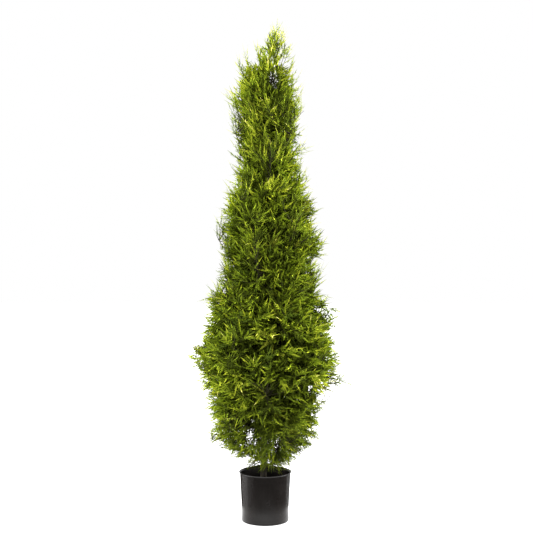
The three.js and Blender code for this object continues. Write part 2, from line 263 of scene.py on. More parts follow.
def object_noise(tree, scale, detail, stretch=(1, 1, 1)):
    """Noise on the piece's own coordinates. A stretch under 1 draws it out along that axis."""
    place = tree.nodes.new("ShaderNodeTexCoord")
    mapping = tree.nodes.new("ShaderNodeMapping")
    mapping.inputs["Scale"].default_value = stretch
    noise = tree.nodes.new("ShaderNodeTexNoise")
    noise.inputs["Scale"].default_value = scale
    noise.inputs["Detail"].default_value = detail
    tree.links.new(place.outputs["Object"], mapping.inputs["Vector"])
    tree.links.new(mapping.outputs["Vector"], noise.inputs["Vector"])
    return noise.outputs["Fac"]


def spread(tree, value, first, last):
    """The middle of a noise spread out from first to last."""
    ranged = tree.nodes.new("ShaderNodeMapRange")
    ranged.inputs["From Min"].default_value = NOISE_LOW
    ranged.inputs["From Max"].default_value = NOISE_HIGH
    ranged.inputs["To Min"].default_value = first
    ranged.inputs["To Max"].default_value = last
    tree.links.new(value, ranged.inputs["Value"])
    return ranged.outputs["Result"]


def shades(tree, value, dark, pale):
    """A ramp between two colours."""
    ramp = tree.nodes.new("ShaderNodeValToRGB")
    ramp.color_ramp.elements[0].position = NOISE_LOW
    ramp.color_ramp.elements[1].position = NOISE_HIGH
    ramp.color_ramp.elements[0].color = (*dark, 1)
    ramp.color_ramp.elements[1].color = (*pale, 1)
    tree.links.new(value, ramp.inputs["Fac"])
    return ramp.outputs["Color"]


def bump(tree, shader, value, depth, strength):
    node = tree.nodes.new("ShaderNodeBump")
    node.inputs["Distance"].default_value = depth
    node.inputs["Strength"].default_value = strength
    tree.links.new(value, node.inputs["Height"])
    tree.links.new(node.outputs["Normal"], shader.inputs["Normal"])


def mottle(tree, shader, value, colour, darkest, palest):
    """Gives a shader its base colour, mottled between two multiples of it."""
    dark, pale = (tuple(channel * factor for channel in colour) for factor in (darkest, palest))
    tree.links.new(shades(tree, value, dark, pale), shader.inputs["Base Color"])


def pot_plastic(colour):
    """Moulded charcoal plastic: glossy, with faint clouding and upright flow marks."""
    material, tree, shader = new_material("pot_plastic")
    clouding = object_noise(tree, scale=18, detail=4)
    flow = object_noise(tree, scale=160, detail=2, stretch=(1, 1, 0.06))
    mottle(tree, shader, clouding, colour, darkest=0.85, palest=1.2)
    tree.links.new(spread(tree, clouding, first=0.2, last=0.28), shader.inputs["Roughness"])
    shader.inputs["Specular IOR Level"].default_value = 0.2
    bump(tree, shader, flow, depth=0.0003, strength=0.12)
    return material


def set_fill(colour):
    """Rough dark set fill."""
    material, tree, shader = new_material("set_fill")
    grains = object_noise(tree, scale=220, detail=6)
    mottle(tree, shader, grains, colour, darkest=0.5, palest=1.8)
    shader.inputs["Roughness"].default_value = 0.95
    bump(tree, shader, grains, depth=0.002, strength=0.8)
    return material


def bark(colour):
    """Fissured bark: dark cracks drawn out along the trunk."""
    material, tree, shader = new_material("bark")
    cracks = object_noise(tree, scale=190, detail=8, stretch=(1, 1, 0.22))
    mottle(tree, shader, cracks, colour, darkest=0.35, palest=1.5)
    tree.links.new(spread(tree, cracks, first=0.95, last=0.75), shader.inputs["Roughness"])
    bump(tree, shader, cracks, depth=0.002, strength=0.7)
    return material


def twig_skin(colour):
    """Smooth thin bark of the twigs."""
    material, tree, shader = new_material("twig_skin")
    grain = object_noise(tree, scale=300, detail=3)
    mottle(tree, shader, grain, colour, darkest=0.7, palest=1.3)
    shader.inputs["Roughness"].default_value = 0.8
    shader.inputs["Specular IOR Level"].default_value = 0.1
    return material


def spray_plastic(name, colour):
    """Soft moulded foliage: one plain green with a fine grain in its gloss."""
    material, tree, shader = new_material(name)
    grain = object_noise(tree, scale=400, detail=3)
    shader.inputs["Base Color"].default_value = (*colour, 1)
    shader.inputs["Specular IOR Level"].default_value = 0.06
    tree.links.new(spread(tree, grain, first=0.45, last=0.7), shader.inputs["Roughness"])
    bump(tree, shader, grain, depth=0.0006, strength=0.3)
    return material


def floor_acrylic(glow):
    """White acrylic that is lit from below."""
    material, _, shader = new_material("floor_acrylic")
    shader.inputs["Base Color"].default_value = (0.25, 0.25, 0.25, 1)
    shader.inputs["Roughness"].default_value = 0.15
    shader.inputs["Emission Color"].default_value = (1, 1, 1, 1)
    shader.inputs["Emission Strength"].default_value = glow
    return material


def dark_cloth():
    """Black cloth of the slats that darken the pot's reflections."""
    material, _, shader = new_material("dark_cloth")
    shader.inputs["Base Color"].default_value = (0.002, 0.002, 0.002, 1)
    shader.inputs["Roughness"].default_value = 1
    shader.inputs["Specular IOR Level"].default_value = 0
    return material


# Modelling by operators
RELIEF_DETAIL = 4


def deselect_all():
    if bpy.context.object and bpy.context.object.mode != "OBJECT":
        bpy.ops.object.mode_set(mode="OBJECT")
    bpy.ops.object.select_all(action="DESELECT")


def extruded_rings(name, rings, sides):
    """A circle extruded from ring to ring. A ring is its middle and its radius. The two ends are filled."""
    deselect_all()
    middle, radius = rings[0]
    bpy.ops.mesh.primitive_circle_add(vertices=sides, radius=radius, location=middle)
    piece = bpy.context.object
    piece.name = name
    bpy.ops.object.transform_apply(location=True, rotation=True, scale=True)
    bpy.ops.object.mode_set(mode="EDIT")
    bpy.ops.mesh.select_all(action="SELECT")
    for next_middle, next_radius in rings[1:]:
        step = tuple(b - a for a, b in zip(middle, next_middle))
        bpy.ops.mesh.extrude_region_move(TRANSFORM_OT_translate={"value": step})
        grow = next_radius / radius
        bpy.ops.transform.resize(value=(grow, grow, 1), center_override=next_middle)
        middle, radius = next_middle, next_radius
    bpy.ops.mesh.select_all(action="SELECT")
    bpy.ops.mesh.fill_holes(sides=sides)
    bpy.ops.mesh.normals_make_consistent(inside=False)
    bpy.ops.object.mode_set(mode="OBJECT")
    return piece


def roughen(piece, depth, grain, direction="NORMAL", group=""):
    """Pushes a piece's surface in and out by a cloudy relief."""
    clouds = bpy.data.textures.new(piece.name + "_relief", type="CLOUDS")
    clouds.noise_scale = grain
    clouds.noise_depth = RELIEF_DETAIL
    relief = piece.modifiers.new("relief", "DISPLACE")
    relief.texture = clouds
    relief.texture_coords = "LOCAL"
    relief.direction = direction
    relief.strength = depth
    relief.vertex_group = group
    bpy.ops.object.modifier_apply(modifier="relief")


def arc(middle, radius, start, end, steps):
    """Points of a round stretch of a profile, as radius and height, with angles in degrees."""
    angles = [math.radians(blend(start, end, i / steps)) for i in range(steps + 1)]
    return [(middle[0] + radius * math.cos(a), middle[1] + radius * math.sin(a)) for a in angles]


def finish_piece(piece, material, slot, *nodes):
    """Gives a piece its material and its body, and hides the nodes that it stands for. The slot is not used.
    """
    piece.data.materials.clear()
    piece.data.materials.append(material)
    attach(piece, BODY)
    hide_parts(*nodes)


# Steps of the pot's rounded stretches, and the power that its lip flares by.
BOTTOM_STEPS = 5
INSIDE_STEPS = 4
RIM_STEPS = 6
LIP_STEPS = 6
LIP_CURVE = 1.6
POT_SMOOTH_ANGLE = math.radians(35)


def pot_profile(pot):
    """Radii and heights up the outside, round the rim and down the inside."""
    lip_start = pot.height - pot.lip_height
    half_wall = pot.wall / 2
    flare = pot.rim_radius - pot.lip_radius
    lip = [s / LIP_STEPS for s in range(1, LIP_STEPS)]
    outside = arc((pot.base_radius - pot.edge, pot.edge), pot.edge, -90, 0, BOTTOM_STEPS)
    outside += [(pot.base_radius, pot.foot_height)]
    outside += [(pot.lip_radius, lip_start)]
    outside += [(pot.lip_radius + flare * s ** LIP_CURVE, lip_start + pot.lip_height * s) for s in lip]
    rim = arc((pot.rim_radius - half_wall, pot.height - half_wall), half_wall, 0, 180, RIM_STEPS)
    inside = [(radius - pot.wall, z) for radius, z in reversed(outside) if z > pot.foot_height / 2]
    foot_inside = pot.base_radius - pot.wall
    inside += arc((foot_inside - pot.edge, pot.floor + pot.edge), pot.edge, 0, -90, INSIDE_STEPS)
    return outside + rim + inside


class CYPRESS_OT_make_pot(bpy.types.Operator):
    """Round charcoal pot with an upright foot and a flared lip"""

    bl_idname = "cypress.make_pot"
    bl_label = "Make pot"

    def execute(self, context):
        pot = context.scene.cypress_pot
        rings = [((0, 0, z), radius) for radius, z in pot_profile(pot)]
        shell = extruded_rings("pot_shell", rings, pot.sides)
        bpy.ops.object.shade_smooth_by_angle(angle=POT_SMOOTH_ANGLE)
        finish_piece(shell, pot_plastic(pot.colour), "pot_plastic", "pot")
        return {"FINISHED"}


# The fill's foot stands a little clear of the pot's wall, and its top is rough to just short of its edge.
FILL_GAP = 0.0006
FILL_SIDES = 72
FILL_TOP_RINGS = 26
FILL_RELIEF = 0.004
FILL_GRAIN = 0.012
FILL_ROUGH_SHARE = 0.97
FILL_SMOOTH_ANGLE = math.radians(50)


class CYPRESS_OT_make_fill(bpy.types.Operator):
    """Set fill in the pot, with a rough top"""

    bl_idname = "cypress.make_fill"
    bl_label = "Make fill"

    def execute(self, context):
        pot = context.scene.cypress_pot
        foot_radius = pot.base_radius - pot.wall - FILL_GAP
        top_radius = FILL_HIGH.x
        rough_radius = top_radius * FILL_ROUGH_SHARE
        top = FILL_HIGH.z - FILL_RELIEF / 2
        rings = [((0, 0, FILL_LOW.z), foot_radius), ((0, 0, pot.foot_height), foot_radius)]
        rings += [((0, 0, top), top_radius * (1 - i / FILL_TOP_RINGS)) for i in range(FILL_TOP_RINGS)]
        bed = extruded_rings("fill_bed", rings, FILL_SIDES)
        top_group = bed.vertex_groups.new(name="top")
        inner = [
            v.index for v in bed.data.vertices if math.hypot(*v.co.xy) < rough_radius and v.co.z > top / 2
        ]
        top_group.add(inner, 1, "REPLACE")
        roughen(bed, FILL_RELIEF, FILL_GRAIN, direction="Z", group="top")
        bpy.ops.object.shade_smooth_by_angle(angle=FILL_SMOOTH_ANGLE)
        finish_piece(bed, set_fill(pot.fill_colour), "fill", "pot_fill")
        return {"FINISHED"}


# Trunk and boughs. The pole is squeezed, roughened and drawn out again, so that its ridges run upwards.
TRUNK_RINGS = 150
TRUNK_SIDES = 28
TRUNK_GRAIN = 0.005
RIDGE_STRETCH = 5
BOUGH_STEPS = 24
BOUGH_BEVEL = 3
BOUGH_GRAIN = 0.006
BARK_SMOOTH_ANGLE = math.radians(60)


def trunk_x(z):
    """Where the trunk's middle stands in X at a height."""
    share = (z - TRUNK_LOW.z) / (TRUNK_HIGH.z - TRUNK_LOW.z)
    return blend(TRUNK_FOOT_X, TRUNK_TOP_X, share)


def trunk_radius(z, trunk):
    share = np.clip((z - TRUNK_LOW.z) / (TRUNK_HIGH.z - TRUNK_LOW.z), 0, 1)
    flare = 1 - smooth((z - TRUNK_LOW.z) / trunk.flare_height)
    return blend(trunk.radius, trunk.top_radius, share) + (trunk.foot_radius - trunk.radius) * flare


class CYPRESS_OT_make_trunk(bpy.types.Operator):
    """Tapering trunk with a flared foot and ridged bark"""

    bl_idname = "cypress.make_trunk"
    bl_label = "Make trunk"

    def execute(self, context):
        trunk = context.scene.cypress_trunk
        heights = [blend(TRUNK_LOW.z, TRUNK_HIGH.z, i / TRUNK_RINGS) for i in range(TRUNK_RINGS + 1)]
        rings = [((trunk_x(z), 0, z), float(trunk_radius(z, trunk)) - trunk.relief / 4) for z in heights]
        pole = extruded_rings("trunk_pole", rings, TRUNK_SIDES)
        squeeze_upright(1 / RIDGE_STRETCH)
        roughen(pole, trunk.relief, TRUNK_GRAIN)
        squeeze_upright(RIDGE_STRETCH)
        flatten_ends(pole, TRUNK_LOW.z, TRUNK_HIGH.z)
        bpy.ops.object.shade_smooth_by_angle(angle=BARK_SMOOTH_ANGLE)
        finish_piece(pole, bark(trunk.colour), "bark", "trunk")
        return {"FINISHED"}


def squeeze_upright(factor):
    """Scales the active piece along Z about the origin."""
    bpy.ops.object.mode_set(mode="EDIT")
    bpy.ops.mesh.select_all(action="SELECT")
    bpy.ops.transform.resize(value=(1, 1, factor), center_override=(0, 0, 0))
    bpy.ops.object.mode_set(mode="OBJECT")


def flatten_ends(piece, low, high):
    """Keeps a piece between two heights, so that its relief leaves the ends flat."""
    for vertex in piece.data.vertices:
        vertex.co.z = min(max(vertex.co.z, low), high)


class CYPRESS_OT_make_boughs(bpy.types.Operator):
    """One tapering limb from the trunk to each mass in the wide part of the crown"""

    bl_idname = "cypress.make_boughs"
    bl_label = "Make boughs"

    def execute(self, context):
        trunk = context.scene.cypress_trunk
        masses = grown_masses(context.scene.cypress_crown)
        deselect_all()
        line = bpy.data.curves.new("bough_limbs", "CURVE")
        line.dimensions = "3D"
        line.bevel_depth = 1
        line.bevel_resolution = BOUGH_BEVEL
        line.use_fill_caps = True
        for axis in masses.axes[masses.bough_share > 0]:
            shares = np.linspace(0, BOUGH_SHARE, BOUGH_STEPS)
            points = bezier(axis[None], shares[None])[0]
            spline = line.splines.new("POLY")
            spline.points.add(BOUGH_STEPS - 1)
            for i, point in enumerate(spline.points):
                point.co = (*points[i], 1)
                point.radius = blend(trunk.bough_radius, trunk.bough_tip_radius, i / (BOUGH_STEPS - 1))
        limbs = bpy.data.objects.new("bough_limbs", line)
        context.collection.objects.link(limbs)
        context.view_layer.objects.active = limbs
        limbs.select_set(True)
        bpy.ops.object.convert(target="MESH")
        limbs = context.object
        roughen(limbs, trunk.relief / 2, BOUGH_GRAIN)
        bpy.ops.object.shade_smooth_by_angle(angle=BARK_SMOOTH_ANGLE)
        finish_piece(limbs, bark(trunk.colour), "bark", *BOUGH_NODES)
        return {"FINISHED"}


# The crown's rule, as arrays: the axes of the masses, then twigs, plumes and shoots

def seeded_first(seed):
    """The first number of the masses' own random sequence."""
    mask = 0xFFFFFFFF
    state = (seed + 0x6D2B79F5) & mask
    mixed = ((state ^ (state >> 15)) * (state | 1)) & mask
    mixed ^= (mixed + (((mixed ^ (mixed >> 7)) * (mixed | 61)) & mask)) & mask
    return ((mixed ^ (mixed >> 14)) & mask) / 2 ** 32


def crown_reach(z):
    """How far the furthest tips of the masses reach at a height, and 0 outside the crown."""
    heights, reaches = np.array(CROWN).T
    above = np.clip(np.searchsorted(heights, z), 1, len(heights) - 1)
    share = (z - heights[above - 1]) / (heights[above] - heights[above - 1])
    reach = blend(reaches[above - 1], reaches[above], smooth(share))
    return np.where((z < heights[0]) | (z > heights[-1]), 0, reach)


def crown_centre(z, tip_lean):
    """Where the crown's middle stands in X at a height."""
    lean = np.clip((z - LEAN_START) / (TREE_HEIGHT - LEAN_START), 0, 1) ** LEAN_CURVE
    return TRUNK_TOP_X * np.clip(z / TRUNK_HIGH.z, 0, 1) + (tip_lean - TRUNK_TOP_X) * lean


def even_heights(count, top, even_out):
    """Heights that part the crown's surface evenly, one in the middle of each part."""
    heights = np.arange(CROWN_FOOT, top, HEIGHT_STEP)
    totals = np.cumsum(crown_reach(heights) + even_out)
    wanted = totals[-1] * (np.arange(count) + 0.5) / count
    return heights[np.searchsorted(totals, wanted)]


def bezier(axes, shares):
    """Points at shares along quadratic curves: axes are (n, 3, 3) and shares (n, k)."""
    s = shares[..., None]
    a, b, c = (axes[:, None, i] for i in range(3))
    return a * (1 - s) ** 2 + b * 2 * s * (1 - s) + c * s ** 2


def bezier_heading(axes, shares):
    """Directions at shares along the same curves."""
    s = shares[..., None]
    a, b, c = (axes[:, None, i] for i in range(3))
    return unit((b - a) * (1 - s) + (c - b) * s)


class Masses:
    """The masses' axes, the share of each that is a bare bough, and which one is the leader."""

    def __init__(self, axes, bough_share, is_leader):
        self.axes = axes
        self.bough_share = bough_share
        self.is_leader = is_leader
        self.lines = bezier(axes, np.tile(np.linspace(0, 1, AXIS_POINTS), (len(axes), 1)))


def grown_masses(crown):
    """The masses as the part's source grows them, with the leader last."""
    z = even_heights(crown.masses, HIGHEST_TIP, EVEN_OUT)
    order = np.arange(crown.masses)
    reach = crown_reach(z) * (1 - REACH_SPREAD * np.array([seeded_first(i + 1) for i in range(crown.masses)]))
    azimuth = FIRST_AZIMUTH + order * GOLDEN_ANGLE
    up = np.clip((z - CROWN_FOOT) / (TRUNK_HIGH.z - CROWN_FOOT), 0, 1)
    root_z = np.maximum(z - reach * np.tan(blend(LOW_RISE, HIGH_RISE, up)), LOWEST_ROOT)
    root = np.stack((trunk_x(root_z), 0 * z, root_z), axis=1)
    centre = crown_centre(z, crown.tip_lean)
    tip = np.stack((centre + reach * np.cos(azimuth), reach * np.sin(azimuth), z), axis=1)
    bend = (root + tip) / 2
    bend[:, 2] = blend(root[:, 2], tip[:, 2], SWEEP)
    side_axes = np.stack((root, bend, tip), axis=1)
    leader_root = np.array((TRUNK_TOP_X, 0, TRUNK_HIGH.z))
    leader_tip = np.array((crown.tip_lean, 0, TREE_HEIGHT))
    leader_bend = (leader_root + leader_tip) / 2
    leader_bend[0] = blend(leader_root[0], leader_tip[0], SWEEP)
    axes = np.concatenate((side_axes, [[leader_root, leader_bend, leader_tip]]))
    bough_share = np.append(np.where(reach > BOUGH_LEAST_REACH, BOUGH_SHARE, 0), 0)
    return Masses(axes, bough_share, np.append(np.zeros(len(z), bool), True))


# Height above the floor, then the sprays' share of the crown's reach.
SPRAY_SHARE = (
    (0.2, 1.15), (0.42, 1.12), (0.6, 0.98), (0.8, 0.99), (1.0, 0.97), (1.2, 1.05), (1.36, 1.12), (1.8, 1.03),
)
# Height above the floor, then how far the sprays stand aside of the crown's middle.
SPRAY_ASIDE = ((0.2, 0.0), (0.45, 0.004), (0.6, 0.008), (1.15, 0.012), (1.35, 0.006), (1.5, 0.0))

# Tufts that stand out of that outline, and dips in it: azimuth, height, how far out, and half the size.
TUFTS = (
    (math.pi, 1.645, 0.048, 0.024),
    (math.pi, 1.52, 0.02, 0.03),
    (math.pi, 1.335, 0.02, 0.03),
    (math.pi, 1.09, 0.025, 0.03),
    (math.pi, 0.79, 0.03, 0.05),
    (math.pi, 0.71, -0.015, 0.025),
    (math.pi, 0.67, -0.025, 0.03),
    (math.pi, 0.578, 0.052, 0.025),
    (math.pi, 0.545, -0.02, 0.015),
    (math.pi, 0.5, 0.02, 0.02),
    (math.pi, 0.42, 0.02, 0.05),
    (math.pi, 0.29, 0.035, 0.045),
    (0.0, 1.65, 0.022, 0.025),
    (0.0, 1.55, -0.015, 0.03),
    (0.0, 1.47, 0.014, 0.03),
    (0.0, 1.33, 0.02, 0.025),
    (0.0, 1.01, 0.025, 0.06),
    (0.0, 0.757, 0.06, 0.028),
    (0.0, 0.6, -0.012, 0.04),
    (0.0, 0.485, 0.088, 0.03),
    (0.0, 0.27, 0.03, 0.05),
    (1.2, 0.62, 0.03, 0.04),
    (2.1, 0.8, 0.03, 0.03),
    (1.7, 1.2, 0.025, 0.03),
    (4.2, 0.7, 0.03, 0.03),
    (5.1, 0.95, 0.025, 0.03),
)


def from_table(table, at):
    """Values that a table of places and values gives between its own places."""
    return np.interp(at, *np.array(table).T)


def tuft_reach(z, azimuth):
    """How far tufts move the outline out, and dips move it in."""
    reach = crown_reach(z)
    tufts = 0
    for tuft_azimuth, height, out, half_size in TUFTS:
        across = 2 * reach * np.sin((azimuth - tuft_azimuth) / 2)
        tufts = tufts + out * np.exp(-(across ** 2 + (z - height) ** 2) / half_size ** 2)
    return tufts


def spray_reach(z, azimuth):
    """How far the sprays' outline reaches from its own middle."""
    return crown_reach(z) * from_table(SPRAY_SHARE, z) + tuft_reach(z, azimuth)


def spray_centre(z, tip_lean):
    """Where the middle of the sprays' outline stands in X at a height."""
    return crown_centre(z, tip_lean) + from_table(SPRAY_ASIDE, z)


def depth_inside(points, tip_lean):
    """How far points lie inside the sprays' outline, level with it."""
    x = points[..., 0] - spray_centre(points[..., 2], tip_lean)
    y = points[..., 1]
    return spray_reach(points[..., 2], np.arctan2(y, x)) - np.hypot(x, y)


def branch_heading(axis, angle, roll):
    """Directions turned from an axis by an angle, after rolling round it."""
    aside = np.stack((axis[:, 1], -axis[:, 0], 0 * axis[:, 0]), axis=1)
    aside[(aside ** 2).sum(1) < LEAST_ASIDE] = (1, 0, 0)
    aside = unit(aside)
    across = np.cross(axis, aside)
    rolled = aside * np.cos(roll)[:, None] + across * np.sin(roll)[:, None]
    return axis * np.cos(angle)[:, None] + rolled * np.sin(angle)[:, None]


# Twigs: their tips stand on a finer spiral, as the masses' own tips do, in layers.
# A layer is its least and most depth inside the outline, and its share of the twigs.
TWIG_EVEN_OUT = 0.02
TWIG_LAYERS = ((0.01, 0.04, 0.08), (0.04, 0.065, 0.15), (0.065, 0.11, 0.47), (0.11, 0.19, 0.3))
# Layers lie nearer to the outline where it reaches less than this, at the foot, and in tufts.
LAYER_REACH = 0.15
FOOT_INSET = 0.45
FOOT_TO = 0.5
TUFT_FULL = 0.06
# Tips draw back by a share of their distance from the nearest axis, and keep a least share of the reach.
GROOVE = 0.22
TWIG_LEAST_REACH = 0.3
TWIG_TOP = 1.63
TWIG_KNEE = 0.55
# Shares along a stem: its first and last twigs, and where its own plumes start. They stop short of its tip.
STEM_FIRST = 0.08
STEM_END = 0.82
STEM_TIP_FROM = 0.7
TIP_INSET = 0.04
# Height above the floor, then how far back along its stem a twig starts, as a share of its distance from it.
TWIG_SETBACK = ((0.2, 0.8), (1.1, 0.9), (1.6, 1.1))
# Height above the floor, then the slope at which a twig ends: drooping at the foot and steep at the top.
TWIG_RISE = ((0.2, -0.5), (0.45, -0.05), (0.65, 0.25), (1.0, 0.65), (1.6, 1.3))
# How far the random draws spread.
RISE_SPREAD = 0.35
AIM_SPREAD = 0.75
ALONG_SPREAD = 0.12
AZIMUTH_SPREAD = 0.12
HEIGHT_SPREAD = 0.02

# The top of the leader parts into prongs on the same spiral.
PRONGS = 13
PRONG_LOWEST = 1.65
PRONG_HIGHEST = 1.765
PRONG_REACH = 0.6
PRONG_FIRST_AZIMUTH = math.pi
PRONG_RISE = 0.1
PRONG_BEND = 0.65


def nearest_axis(points, masses):
    """The mass whose axis is nearest to each point, the share along that axis, and the distance."""
    start, end = masses.lines[:, :-1], masses.lines[:, 1:]
    along = end - start
    to_point = points[:, None, None] - start
    share = np.clip((to_point * along).sum(-1) / (along * along).sum(-1), 0, 1)
    distance = np.linalg.norm(to_point - share[..., None] * along, axis=-1)
    steps = along.shape[1]
    best = distance.reshape(len(points), -1).argmin(1)
    owner, step = np.divmod(best, steps)
    row = np.arange(len(points))
    return owner, (step + share[row, owner, step]) / steps, distance[row, owner, step]


def grown_twigs(masses, crown, random):
    """Curves of the twigs, (n, 3, 3), each from the stem of the mass whose axis is nearest to its tip."""
    order = np.arange(crown.twigs)
    z = even_heights(crown.twigs, TWIG_TOP, TWIG_EVEN_OUT)
    z = np.maximum(z + random.normal(0, HEIGHT_SPREAD, crown.twigs), CROWN_FOOT)
    azimuth = order * GOLDEN_ANGLE + random.normal(0, AZIMUTH_SPREAD, crown.twigs)
    low, high, odds = np.array(TWIG_LAYERS).T
    layer = random.choice(len(odds), crown.twigs, p=odds)
    outline = spray_reach(z, azimuth)
    inset = random.uniform(low[layer], high[layer]) * np.minimum(1, outline / LAYER_REACH)
    inset *= blend(FOOT_INSET, 1, smooth((z - CROWN_FOOT) / (FOOT_TO - CROWN_FOOT)))
    inset *= 1 - np.clip(tuft_reach(z, azimuth) / TUFT_FULL, 0, 1)
    centre = spray_centre(z, crown.tip_lean)
    outward = np.stack((np.cos(azimuth), np.sin(azimuth), 0 * z), axis=1)
    middle = np.stack((centre, 0 * z, z), axis=1)
    from_axis = nearest_axis(middle + outward * outline[:, None], masses)[2]
    reach = np.maximum(outline - inset - GROOVE * from_axis, outline * TWIG_LEAST_REACH)
    tip = middle + outward * reach[:, None]
    owner, near, distance = nearest_axis(tip, masses)
    axes = masses.axes[owner]
    setback = from_table(TWIG_SETBACK, z) * distance / curve_lengths(axes)
    first = np.maximum(masses.bough_share[owner], STEM_FIRST)
    jitter = random.uniform(-ALONG_SPREAD, ALONG_SPREAD, crown.twigs)
    along = np.clip(near - setback + jitter, first, STEM_END)[:, None]
    root = bezier(axes, along)[:, 0]
    aim_azimuth = azimuth + random.normal(0, AIM_SPREAD, crown.twigs)
    rise = from_table(TWIG_RISE, z) + random.normal(0, RISE_SPREAD, crown.twigs)
    aim = unit(np.stack((np.cos(aim_azimuth), np.sin(aim_azimuth), rise), axis=1))
    knee = tip - aim * np.linalg.norm(tip - root, axis=1)[:, None] * TWIG_KNEE
    return np.stack((root, knee, tip), axis=1)


def grown_prongs(masses, crown):
    """Curves of the prongs, which leave the leader low and turn up beside it."""
    leader = masses.axes[masses.is_leader]
    z = np.linspace(PRONG_HIGHEST, PRONG_LOWEST, PRONGS)
    azimuth = PRONG_FIRST_AZIMUTH + np.arange(PRONGS) * GOLDEN_ANGLE
    reach = crown_reach(z) * PRONG_REACH
    centre = crown_centre(z, crown.tip_lean)
    tip = np.stack((centre + reach * np.cos(azimuth), reach * np.sin(azimuth), z), axis=1)
    low, high = leader[0, 0, 2], leader[0, 2, 2]
    along = np.clip((z - PRONG_RISE - low) / (high - low), STEM_FIRST, STEM_END)
    root = bezier(leader, along[None])[0]
    knee = blend(root, tip, 0.5)
    knee[:, :2] = blend(root[:, :2], tip[:, :2], PRONG_BEND)
    return np.stack((root, knee, tip), axis=1)


# Sprigs that grow from the trunk over the pot, at the top and at the sides of the foot, in that order:
# azimuth, height at the trunk, reach, and height of the tip.
SPRIGS = (
    (-1.57, 0.29, 0.108, 0.212),
    (-1.15, 0.27, 0.09, 0.215),
    (-0.8, 0.26, 0.1, 0.215),
    (-0.4, 0.27, 0.1, 0.22),
    (0.1, 0.26, 0.095, 0.215),
    (0.7, 0.27, 0.09, 0.22),
    (-2.0, 0.25, 0.06, 0.21),
    (1.8, 0.25, 0.07, 0.215),
    (math.pi, 1.5, 0.095, 1.655),
    (math.pi, 1.54, 0.072, 1.68),
    (0.0, 1.54, 0.095, 1.65),
    (0.1, 1.58, 0.085, 1.7),
    (0.0, 1.66, 0.04, 1.775),
    (math.pi, 0.36, 0.185, 0.285),
    (2.8, 0.33, 0.145, 0.255),
    (-2.8, 0.33, 0.145, 0.255),
    (0.0, 0.38, 0.175, 0.305),
    (0.35, 0.31, 0.14, 0.245),
    (-0.35, 0.31, 0.14, 0.245),
)


def grown_sprigs():
    """Curves of the sprigs, which leave the trunk level."""
    azimuth, root_z, reach, tip_z = np.array(SPRIGS).T
    root = np.stack((trunk_x(root_z), 0 * root_z, root_z), axis=1)
    tip = np.stack((reach * np.cos(azimuth), reach * np.sin(azimuth), tip_z), axis=1)
    knee = np.stack((tip[:, 0], tip[:, 1], root_z), axis=1)
    return np.stack((root, (knee + root) / 2, tip), axis=1)


def stem_tips(masses):
    """The last stretch of every axis, which bears plumes as a twig does."""
    last = np.full((len(masses.axes), 1), STEM_TIP_FROM)
    start = bezier(masses.axes, last)[:, 0]
    heading = bezier_heading(masses.axes, last)[:, 0]
    tip = masses.axes[:, 2] - unit(masses.axes[:, 2] - start) * TIP_INSET
    knee = start + heading * (np.linalg.norm(tip - start, axis=1) / 2)[:, None]
    return np.stack((start, knee, tip), axis=1)


# Plumes on a twig: the bare share below them, their least number, their angles to it low down and at its tip,
# which are closer near the outline, and their lengths.
PLUME_FIRST = 0.22
LEAST_PLUMES = 3
PLUME_WIDE = 0.95
PLUME_NARROW = 0.5
PLUME_ANGLE_SPREAD = (0.8, 1.2)
OUTER_CLOSER = 0.8
PLUME_ROLL_SPREAD = 0.7
PLUME_TIP_SHARE = 0.95
PLUME_SPREAD = (0.6, 1.4)
# Plumes have their full size up to this height, and this share of it from the lowest prong on.
FULL_SIZE_TO = 1.45
TOP_SIZE = 0.72
# Height above the floor, then how far a plume there is lifted: down at the foot and up at the top.
PLUME_LIFT = ((0.2, -0.3), (0.5, -0.1), (0.8, 0.08), (1.6, 0.15))


def curve_lengths(curves):
    """Lengths of curves along their corner points."""
    return np.linalg.norm(np.diff(curves, axis=1), axis=2).sum(1)


def grown_plumes(curves, crown, random):
    """Roots, headings and lengths of the plumes, each with its twig and its place along it."""
    lengths = curve_lengths(curves)
    leafy = np.minimum(lengths * (1 - PLUME_FIRST), crown.leafy_length)
    size = blend(1, TOP_SIZE, smooth((curves[:, 2, 2] - FULL_SIZE_TO) / (PRONG_LOWEST - FULL_SIZE_TO)))
    counts = np.maximum(LEAST_PLUMES, (leafy / size / crown.plume_spacing).astype(int))
    twig = np.repeat(np.arange(len(curves)), counts)
    order = np.concatenate([np.arange(n) for n in counts])
    place = (order + 1) / counts[twig]
    along = blend(1 - leafy[twig] / lengths[twig], 1, place)[:, None]
    root = bezier(curves[twig], along)[:, 0]
    twig_heading = bezier_heading(curves[twig], along)[:, 0]
    is_last = order == counts[twig] - 1
    angle = blend(PLUME_WIDE, PLUME_NARROW, place) * random.uniform(*PLUME_ANGLE_SPREAD, len(twig))
    angle *= blend(OUTER_CLOSER, 1, smooth(depth_inside(root, crown.tip_lean) / SHORT_DEPTH))
    angle[is_last] = 0
    roll = order * math.pi + random.random(len(curves))[twig] * 2 * math.pi
    roll += random.normal(0, PLUME_ROLL_SPREAD, len(twig))
    lift = from_table(PLUME_LIFT, root[:, 2])
    heading = unit(branch_heading(twig_heading, angle, roll) + lift[:, None] * UP)
    length = crown.plume_length * blend(1, PLUME_TIP_SHARE, place) * random.uniform(*PLUME_SPREAD, len(twig))
    length *= size[twig]
    return root, heading, length, twig, place


